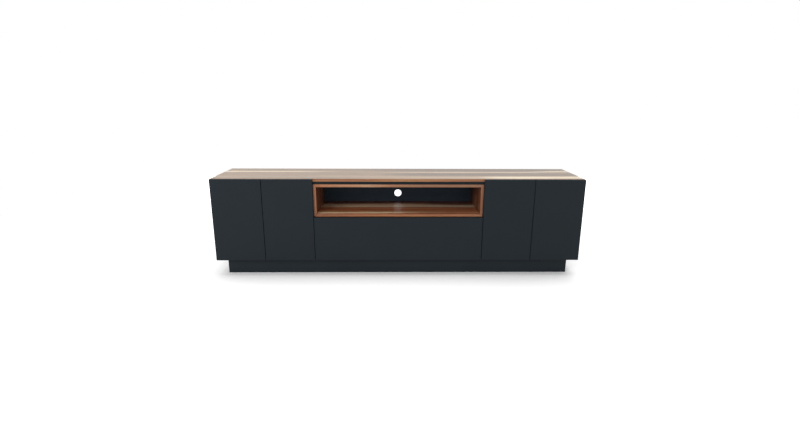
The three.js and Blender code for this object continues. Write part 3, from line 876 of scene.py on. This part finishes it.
class MakeHinges(Step, bpy.types.Operator):
    """Make the eight concealed hinges, each with its cup, link and arm"""

    bl_idname = "tv_cabinet.make_hinges"
    bl_label = "Hinges"

    # How far the cross recess reaches, as a share of the screw head's radius.
    recess_share = 0.6
    # How many sides the round pieces have, and how many steps the arcs.
    cup_sides, knuckle_sides, screw_sides, pin_sides = 56, 28, 24, 20
    nose_steps, strap_steps = 12, 6
    # How many times the rounding of its top goes into a lug's width.
    lug_rounds = 3

    def execute(self, context):
        sizes, colours = settings()
        nickel = plated_steel("nickel_plated_steel", colours.nickel, roughness=0.3, spangle=14)
        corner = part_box("left_outer_door")[0]
        self.door_pin = JOINT_PLACE["left_outer_door_swing"] - corner
        self.arm_pin = JOINT_PLACE["left_outer_link_swing"] - corner
        screw = self.screw(sizes)
        patterns = {"cup": self.cup(sizes, screw), "link": self.link(sizes)}
        for door, turned in DOORS.items():
            arm = self.arm(sizes, screw, door, turned)
            for level in LEVELS:
                for kind, pattern in {**patterns, "arm": arm}.items():
                    node = f"{door}_{level}_hinge_{kind}"
                    placing = door_placing(door, middle_of(node).z)
                    stand_for(copy_to(pattern, f"{node}_finished", placing), node, nickel)
            bpy.data.objects.remove(arm)
        for pattern in [screw, *patterns.values()]:
            bpy.data.objects.remove(pattern)
        return {"FINISHED"}

    def screw(self, sizes):
        """A low screw head with a cross recess, standing along Z from the origin."""
        rise = sizes.screw_rise
        head = rod_piece(
            "screw_pattern", sizes.screw_head, (0, 0, -rise), (0, 0, rise), self.screw_sides)
        round_edges(head, rise / 2, segments=2, wanted=lambda e: all(v.co.z > 0 for v in e.verts))
        reach, half = sizes.screw_head * self.recess_share, sizes.screw_recess / 2
        for across, along in ((reach, half), (half, reach)):
            recess = box_piece("recess", (-across, -along, 0), (across, along, 2 * rise))
            combine(head, recess, "DIFFERENCE")
        return head

    def with_screws(self, piece, screw, places, turn):
        """Sets screws at places on a piece and joins them to it."""
        heads = [copy_to(screw, "screw", Matrix.Translation(place) @ turn) for place in places]
        select_only(piece)
        for head in heads:
            head.select_set(True)
        bpy.ops.object.join()
        return smooth(piece)

    def cup(self, sizes, screw):
        """The pressed cup, drawn from the door's hinge edge and front face."""
        low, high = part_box("left_outer_upper_hinge_cup")
        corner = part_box("left_outer_door")[0]
        radius = (high.x - low.x) / 2
        across = (low.x + high.x) / 2 - corner.x
        bottom, proud = low.y - corner.y, high.y - corner.y
        rim = proud - sizes.flange_thickness
        floor = bottom + sizes.cup_floor
        reach = (high.z - low.z) / 2
        pot = rod_piece("cup_pattern", radius, (across, bottom, 0), (across, rim, 0), self.cup_sides)
        round_edges(pot, sizes.cup_foot_round, segments=4,
                    wanted=lambda e: all(v.co.y < bottom + TOLERANCE for v in e.verts))
        half = sizes.flange_width / 2
        outline = rounded_outline((across - half, -reach), (across + half, reach), sizes.flange_round)
        combine(pot, drawn_piece("ears", outline, "XZ", (rim - OVERRUN / 2, proud)), "UNION")
        wall = radius - sizes.cup_wall
        start, end = (across, floor, 0), (across, proud + OVERRUN, 0)
        combine(pot, rod_piece("hollow", wall, start, end, self.cup_sides), "DIFFERENCE")
        pin = self.door_pin
        half, top = sizes.lug_width / 2, pin.y + sizes.lug_over_pin
        for sign in (-1, 1):
            near, far = sorted((sign * sizes.lug_inside, sign * sizes.lug_outside))
            foot = floor - sizes.cup_floor / 2
            lug = box_piece("lug", (pin.x - half, foot, near), (pin.x + half, top, far))
            round_edges(lug, sizes.lug_width / self.lug_rounds, segments=4,
                        wanted=lambda e: runs_along(Z_AXIS)(e)
                        and all(v.co.y > top - TOLERANCE for v in e.verts))
            combine(pot, lug, "UNION")
        place = (radius + reach) / 2
        places = [(across, proud - sizes.screw_sink, sign * place) for sign in (-1, 1)]
        return self.with_screws(pot, screw, places, rotation(-QUARTER_TURN, "X"))

    def link(self, sizes):
        """The bent link with its two pins."""
        bend = Vector((sizes.link_bend_across, sizes.link_bend_deep))
        ends = [Vector((pin.x, pin.y)) for pin in (self.arm_pin, self.door_pin)]
        half, pin_half = sizes.link_half_height, sizes.pin_half_length
        outline = self.strap(ends[0], bend, ends[1], sizes.link_thickness / 2)
        link = drawn_piece("link_pattern", outline, "XY", (-half, half))
        round_edges(link, sizes.link_arris, segments=2,
                    wanted=lambda e: abs(e.verts[0].co.z - e.verts[1].co.z) < TOLERANCE)
        rods = (("knuckle", sizes.knuckle_radius, half, self.knuckle_sides),
                ("pin", sizes.pin_radius, pin_half, self.pin_sides))
        for end in ends:
            for name, radius, reach, sides in rods:
                rod = rod_piece(name, radius, (*end, -reach), (*end, reach), sides)
                combine(link, rod, "UNION")
        return smooth(link)

    def strap(self, start, bend, end, half):
        """The outline of a flat strap that is bent once, round on the outside of its bend."""
        into, out = (bend - start).normalized(), (end - bend).normalized()
        turn = math.atan2(into.cross(out), into.dot(out))
        inward = math.copysign(half, turn)
        into_side, out_side = into.orthogonal() * inward, out.orthogonal() * inward
        inner = bend + (into_side + out_side) / (1 + into.dot(out))
        first = math.atan2(-into_side.y, -into_side.x)
        return [
            start + into_side, start - into_side,
            *arc(bend, half, first, first + turn, self.strap_steps),
            end - out_side, end + out_side, inner,
        ]

    def arm(self, sizes, screw, door, turned):
        """The arm on its mounting plate, drawn from the hinge edge of its door."""
        low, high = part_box(f"{door}_upper_hinge_arm")
        door_low, door_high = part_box(f"{door}_door")
        if turned:
            panel, top = door_high.x - high.x, door_high.x - low.x
        else:
            panel, top = low.x - door_low.x, high.x - door_low.x
        back = high.y - door_low.y
        reach = (high.z - low.z) / 2
        heel = self.arm_pin.y + sizes.arm_heel
        arm = self.arm_shell(sizes, top, heel, back)
        plate = self.plate(sizes, panel, top, heel, back, reach)
        select_only(arm)
        plate.select_set(True)
        bpy.ops.object.join()
        along = (heel + sizes.arm_screw_front, back - sizes.arm_screw_rear)
        middle = heel - sizes.plate_lead + sizes.plate_width / 2
        wing = panel + sizes.plate_thickness
        places = [(top, place, 0) for place in along]
        places += [(wing, middle, sign * sizes.plate_screw) for sign in (-1, 1)]
        return self.with_screws(arm, screw, places, rotation(QUARTER_TURN, "Y"))

    def arm_shell(self, sizes, top, heel, back):
        """The arm of pressed steel, open below, with a round nose and a slot for the link."""
        pin, nose, wall = self.arm_pin, sizes.arm_nose, sizes.arm_wall
        half = sizes.pin_half_length + sizes.arm_side
        skirt = top - sizes.arm_skirt
        outline = [
            (skirt, heel),
            (pin.x - nose, pin.y + sizes.arm_shoulder),
            *arc((pin.x, pin.y), nose, HALF_TURN, 2 * HALF_TURN, self.nose_steps),
            (top, back),
            (skirt, back),
        ]
        arm = drawn_piece("arm_pattern", outline, "XY", (-half, half))
        round_edges(arm, sizes.arm_round, wanted=lambda e: all(
            v.co.x > top - TOLERANCE and abs(v.co.z) > half - TOLERANCE for v in e.verts))
        start = pin.y + nose + sizes.arm_hollow_start
        near, far = (skirt - OVERRUN, start, wall - half), (top - wall, back + OVERRUN, half - wall)
        combine(arm, box_piece("hollow", near, far), "DIFFERENCE")
        side, end = sizes.lug_inside, pin.y + sizes.arm_slot_end
        slot = box_piece("slot", (pin.x - 2 * nose, pin.y - 2 * nose, -side), (top + OVERRUN, end, side))
        return combine(arm, slot, "DIFFERENCE")

    def plate(self, sizes, panel, top, heel, back, reach):
        """The mounting plate with its two wings, and the block on it that the arm is held by."""
        start = heel - sizes.plate_lead
        end = start + sizes.plate_width
        face = panel + sizes.plate_thickness
        outline = rounded_outline((start, -reach), (end, reach), sizes.plate_round)
        plate = drawn_piece("plate", outline, "YZ", (panel, face))
        half = sizes.pin_half_length
        tail = box_piece("tail", (panel, end - sizes.plate_round, -half), (face, back, half))
        combine(plate, tail, "UNION")
        inset, half = sizes.pedestal_inset, sizes.pedestal_half
        block = box_piece("pedestal", (face - sizes.plate_thickness / 2, heel + inset, -half),
                          (top - 2 * sizes.arm_wall, back - inset, half))
        round_edges(block, sizes.pedestal_arris, segments=2)
        return combine(plate, block, "UNION")


class MakeDrawer(Step, bpy.types.Operator):
    """Make the drawer: its front and its box"""

    bl_idname = "tv_cabinet.make_drawer"
    bl_label = "Drawer"

    # The edges whose faces meet at more than this are rounded.
    sharp_angle = math.radians(57)

    def execute(self, context):
        sizes, colours = settings()
        lacquer = charcoal_lacquer("charcoal_lacquer_drawer_front", colours.lacquer)
        melamine = charcoal_melamine("charcoal_melamine_drawer", colours.melamine)
        finished_board("drawer_front", sizes.front_arris, lacquer)
        for node in DRAWER_BOARDS:
            low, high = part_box(node)
            board = box_piece(f"{node}_finished", low, high)
            if node.endswith("side"):
                round_edges(board, sizes.drawer_side_round, segments=4,
                            wanted=lambda e: runs_along(Y_AXIS)(e)
                            and e.verts[0].co.z > high.z - TOLERANCE)
            round_edges(board, sizes.board_arris, segments=2,
                        wanted=lambda e: e.calc_face_angle(0) > self.sharp_angle)
            smooth(board)
            stand_for(board, node, melamine)
        return {"FINISHED"}


class MakeRunners(Step, bpy.types.Operator):
    """Make the drawer's two runners, each in three members"""

    bl_idname = "tv_cabinet.make_runners"
    bl_label = "Runners"

    # Where the slots are along a member, as shares of its length.
    slot_place_shares = (0.12, 0.4, 0.68, 0.9)

    def execute(self, context):
        sizes, colours = settings()
        zinc = plated_steel("zinc_plated_steel", colours.zinc, roughness=0.34, spangle=9)
        centre = middle_of("left_runner_cabinet_member")
        height = Vector((0, 0, centre.z))
        turned = Matrix.Translation(height) @ rotation(HALF_TURN, "Y") @ Matrix.Translation(-height)
        for member, open_side in (("cabinet", 1), ("middle", 1), ("drawer", -1)):
            pattern = self.channel(sizes, member, open_side)
            for side, placing in (("left", Matrix.Identity(4)), ("right", turned)):
                node = f"{side}_runner_{member}_member"
                stand_for(copy_to(pattern, f"{node}_finished", placing), node, zinc)
            bpy.data.objects.remove(pattern)
        return {"FINISHED"}

    def channel(self, sizes, member, open_side):
        """One member as a rolled channel, open towards the drawer or away from it."""
        low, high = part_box(f"left_runner_{member}_member")
        metal = sizes.runner_metal
        lip = 2 * sizes.ball_radius + metal if member == "middle" else metal
        web, edge = (low.x, high.x) if open_side > 0 else (high.x, low.x)
        inner = web + open_side * metal
        outline = [
            (web, low.z), (web, high.z), (edge, high.z), (edge, high.z - lip),
            (inner, high.z - lip), (inner, low.z + lip), (edge, low.z + lip), (edge, low.z),
        ]
        piece = drawn_piece(f"runner_{member}_pattern", outline, "XZ", (low.y, high.y))
        corners = [Vector((web, 0, z)) for z in (low.z, high.z)]

        def bent(edge_line):
            start = edge_line.verts[0].co
            near = any((Vector((start.x, 0, start.z)) - corner).length < TOLERANCE for corner in corners)
            return runs_along(Y_AXIS)(edge_line) and near

        round_edges(piece, sizes.runner_bend, segments=4, wanted=bent)
        middle = (low.z + high.z) / 2
        half, rise = sizes.runner_slot / 2, sizes.runner_slot_height / 2
        span = sorted((web - open_side * OVERRUN, inner + open_side * OVERRUN))
        for share in self.slot_place_shares:
            place = low.y + share * (high.y - low.y)
            outline = rounded_outline(
                (place - half, middle - rise), (place + half, middle + rise), sizes.runner_slot_round)
            combine(piece, drawn_piece("slot", outline, "YZ", span), "DIFFERENCE")
        return smooth(piece)


class MakeStage(Step, bpy.types.Operator):
    """Make the camera, the lamps, the pale floor and the world"""

    bl_idname = "tv_cabinet.make_stage"
    bl_label = "Stage"

    # The photograph's camera, with its place in metres and its angles in degrees.
    focal_length_px = 470.53
    photo_width_px = 800
    sensor_mm = 36
    camera_place = (-0.0401, -2.9162, 1.0639)
    camera_down = 14.888
    camera_right = 1.022
    camera_roll = 0.275
    floor_size = 7
    # The floor's glow in front of the cabinet and beside it, where along X it rises from one to the
    # other, and between which distances it rises on to plain white.
    floor_glow = (0.12, 0.36)
    glow_start, glow_end, glow_shift = 1.03, 1.2, 0.04
    far_start, far_end = 1.5, 3.2
    # How much light the floor gives back to the cabinet, and how strongly the surround lights it.
    floor_bounce = 0.5
    world_level = 0.45
    # Each lamp's place, the point that it faces, its width and height in metres, its watts, and
    # whether it shows in reflections.
    lamps = {
        "key_lamp": ((-2.8, -3.8, 2.3), (0, 0, 0.3), (2.6, 1.6), 68, False),
        "front_lamp": ((-0.4, -4.5, 1.6), (0, 0, 0.3), (6.0, 2.4), 45, True),
        "top_lamp": ((0, 0.3, 3.4), (0, 0.3, 0.6), (8.0, 1.6), 115, True),
    }

    def execute(self, context):
        _, colours = settings()
        self.make_camera(context.scene)
        for name, (place, target, size, watts, mirrored) in self.lamps.items():
            self.make_lamp(name, Vector(place), Vector(target), size, watts, mirrored)
        self.make_floor(colours)
        self.make_world(context.scene)
        context.scene.view_settings.view_transform = "Standard"
        return {"FINISHED"}

    def make_camera(self, scene):
        """The camera of the photograph."""
        data = bpy.data.cameras.new("photo_camera")
        data.sensor_width = self.sensor_mm
        data.lens = self.focal_length_px * self.sensor_mm / self.photo_width_px
        camera = bpy.data.objects.new("photo_camera", data)
        scene.collection.objects.link(camera)
        camera.matrix_world = (
            Matrix.Translation(self.camera_place)
            @ rotation(math.radians(-self.camera_right), "Z")
            @ rotation(QUARTER_TURN - math.radians(self.camera_down), "X")
            @ rotation(math.radians(self.camera_roll), "Z")
        )
        scene.camera = camera

    def make_lamp(self, name, place, target, size, watts, mirrored):
        """One soft rectangular lamp that faces a point."""
        data = bpy.data.lights.new(name, "AREA")
        data.shape = "RECTANGLE"
        data.size, data.size_y = size
        data.energy = watts
        lamp = bpy.data.objects.new(name, data)
        lamp.visible_glossy = mirrored
        bpy.context.scene.collection.objects.link(lamp)
        facing = (target - place).to_track_quat("-Z", "Y").to_matrix().to_4x4()
        lamp.matrix_world = Matrix.Translation(place) @ facing

    def make_floor(self, colours):
        """A pale floor that keeps the cabinet's shadow."""
        bpy.ops.object.select_all(action="DESELECT")
        bpy.ops.mesh.primitive_plane_add(size=self.floor_size, location=(0, 0, 0))
        floor = new_name(bpy.context.active_object, "studio_floor")
        floor.data.materials.append(self.pale_floor(colours.floor))

    def pale_floor(self, base):
        """Matt white studio floor. To the camera it glows up to white and keeps only the near shadow."""
        material, tree, shader, place = start_material(
            "matt_studio_floor", Base_Color=base, Roughness=0.9, Specular_IOR_Level=0.0)
        seen = self.seen_by_eye(tree)
        along = add(tree, "SeparateXYZ", {"Vector": place}).outputs["X"]
        shifted = add(tree, "Math", {0: along, 1: self.glow_shift}, operation="ADD")
        aside = add(tree, "Math", {0: shifted.outputs[0]}, operation="ABSOLUTE")
        strength = add(tree, "MapRange", {
            "Value": aside.outputs[0], "From Min": self.glow_start, "From Max": self.glow_end,
            "To Min": self.floor_glow[0], "To Max": self.floor_glow[1],
        }, interpolation_type="SMOOTHSTEP")
        distance = add(tree, "VectorMath", {0: place}, operation="LENGTH")
        far = add(tree, "MapRange", {
            "Value": distance.outputs["Value"], "From Min": self.far_start, "From Max": self.far_end,
            "To Min": 0.0, "To Max": 1.0,
        })
        total = add(tree, "Math", {0: strength.outputs[0], 1: far.outputs[0]}, operation="ADD")
        glow = add(tree, "Emission", {"Color": base, "Strength": total.outputs[0]})
        both = add(tree, "AddShader", {0: shader.outputs[0], 1: glow.outputs[0]})
        bounce = add(tree, "BsdfDiffuse", {"Color": grey(self.floor_bounce)})
        mixed = add(tree, "MixShader", {0: seen, 1: bounce.outputs[0], 2: both.outputs[0]})
        tree.links.new(mixed.outputs[0], tree.nodes["Material Output"].inputs["Surface"])
        return material

    def seen_by_eye(self, tree):
        """One where a ray comes from the camera, or by a reflection or through glass."""
        rays = add(tree, "LightPath").outputs
        seen = rays["Is Camera Ray"]
        for kind in ("Is Glossy Ray", "Is Transmission Ray"):
            seen = add(tree, "Math", {0: seen, 1: rays[kind]}, operation="MAXIMUM").outputs[0]
        return seen

    def make_world(self, scene):
        """A plain white surround, seen as white and lighting at a plain level."""
        world = bpy.data.worlds.new("studio_surround")
        world.use_nodes = True
        tree = world.node_tree
        seen = self.seen_by_eye(tree)
        level = add(tree, "MapRange", {"Value": seen, "To Min": self.world_level, "To Max": 1.0})
        surround = tree.nodes["Background"]
        surround.inputs["Color"].default_value = linear("#FFFFFF")
        tree.links.new(level.outputs[0], surround.inputs["Strength"])
        scene.world = world


STEPS = (
    MakeStage, MakeTop, MakeNiche, MakeCarcass, MakePlinth, MakeDoors, MakeHinges, MakeDrawer, MakeRunners,
)


class CabinetPanel(bpy.types.Panel):
    """The steps of the cabinet, its sizes and its colours"""

    bl_idname = "VIEW3D_PT_tv_cabinet"
    bl_label = "TV Cabinet"
    bl_space_type = "VIEW_3D"
    bl_region_type = "UI"
    bl_category = "TV Cabinet"

    def draw(self, context):
        layout = self.layout
        for step in STEPS:
            layout.operator(step.bl_idname)
        for group in (context.scene.tv_cabinet_colours, context.scene.tv_cabinet_sizes):
            box = layout.box()
            for name in group.__annotations__:
                box.prop(group, name)


CLASSES = (CabinetSizes, CabinetColours, *STEPS, CabinetPanel)


def register():
    for each in CLASSES:
        bpy.utils.register_class(each)
    bpy.types.Scene.tv_cabinet_sizes = bpy.props.PointerProperty(type=CabinetSizes)
    bpy.types.Scene.tv_cabinet_colours = bpy.props.PointerProperty(type=CabinetColours)


def unregister():
    del bpy.types.Scene.tv_cabinet_colours
    del bpy.types.Scene.tv_cabinet_sizes
    for each in reversed(CLASSES):
        bpy.utils.unregister_class(each)


def main():
    """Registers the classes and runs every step."""
    register()
    bpy.ops.tv_cabinet.make_stage()
    bpy.ops.tv_cabinet.make_top()
    bpy.ops.tv_cabinet.make_niche()
    bpy.ops.tv_cabinet.make_carcass()
    bpy.ops.tv_cabinet.make_plinth()
    bpy.ops.tv_cabinet.make_doors()
    bpy.ops.tv_cabinet.make_hinges()
    bpy.ops.tv_cabinet.make_drawer()
    bpy.ops.tv_cabinet.make_runners()


if __name__ == "__main__":
    main()
